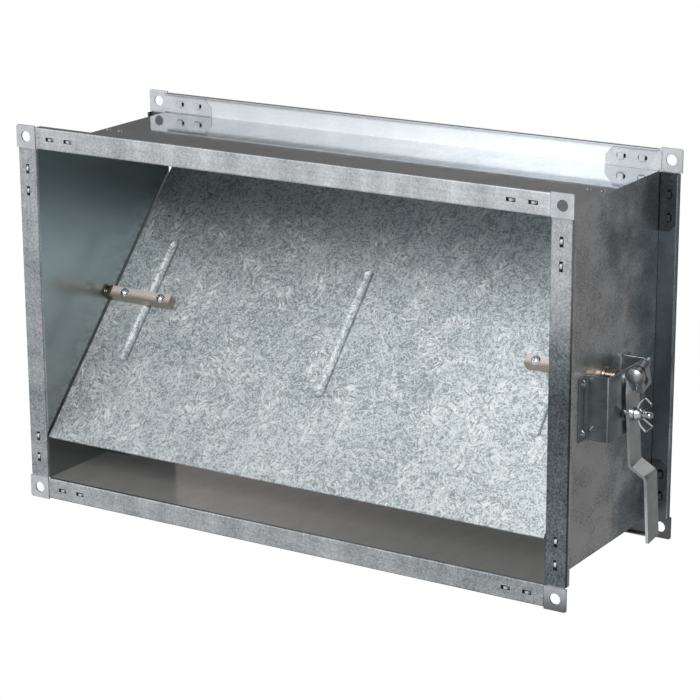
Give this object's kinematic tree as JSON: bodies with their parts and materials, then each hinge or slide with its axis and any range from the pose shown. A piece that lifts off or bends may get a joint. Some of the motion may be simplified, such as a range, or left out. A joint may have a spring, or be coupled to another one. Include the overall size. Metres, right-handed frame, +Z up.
{
  "type": "manual duct shutoff damper",
  "caption": "Galvanised rectangular duct damper: a flanged folded casing with a single pivoting blade, turned by a side lever that a wing nut locks in an arc slot.",
  "frame": {"origin": "centre of the front flange's face, which is the centre of its bolt pattern and of the duct's opening", "axes": "+X to the lever's side, +Y through the duct from the front flange to the back one, +Z up"},
  "size_m": [0.561, 0.2034, 0.34],
  "materials": {
    "galvanised_casing": "galvanised sheet with a faint spangle, glossy in places",
    "galvanised_plate": "pressed galvanised plate",
    "spangled_blade": "galvanised sheet with a coarse bright spangle",
    "galvanised_bracket": "folded galvanised sheet",
    "lever_steel": "zinc-plated flat bar with bright cut edges",
    "yellow_zinc": "yellow passivated zinc plate",
    "bright_zinc": "bright zinc plate"
  },
  "bodies": {
    "casing": {"top_panel": "galvanised_casing", "bottom_panel": "galvanised_casing", "left_panel": "galvanised_casing", "right_panel": "galvanised_casing", "front_top_left_corner": "galvanised_plate", "front_top_right_corner": "galvanised_plate", "front_bottom_left_corner": "galvanised_plate", "front_bottom_right_corner": "galvanised_plate", "back_top_left_corner": "galvanised_plate", "back_top_right_corner": "galvanised_plate", "back_bottom_left_corner": "galvanised_plate", "back_bottom_right_corner": "galvanised_plate", "seam_rivets": "bright_zinc", "lever_bracket": "galvanised_bracket", "bracket_rivets": "bright_zinc"},
    "blade_assembly": {"blade": "spangled_blade", "left_shaft": "yellow_zinc", "right_shaft": "yellow_zinc", "left_bush": "yellow_zinc", "right_bush": "yellow_zinc", "left_collar": "yellow_zinc", "right_collar": "yellow_zinc", "shaft_screws": "bright_zinc", "shaft_nuts": "bright_zinc", "lever": "lever_steel", "shaft_clamp": "bright_zinc", "clamp_bolt": "bright_zinc", "clamp_nut": "bright_zinc", "lock_bolt": "bright_zinc", "lock_washer": "bright_zinc"},
    "wing": {"wing_nut": "bright_zinc"}
  },
  "joints": [
    {"name": "blade_pivot", "type": "hinge", "parent": "casing", "child": "blade_assembly", "pos_m": [0, 0.098, 0], "axis": [1, 0, 0], "range_deg": [-47, 43]},
    {"name": "wing_turn", "type": "hinge", "parent": "blade_assembly", "child": "wing", "pos_m": [0.28, 0.10166, -0.02978], "axis": [1, 0, 0], "continuous": true}
  ]
}
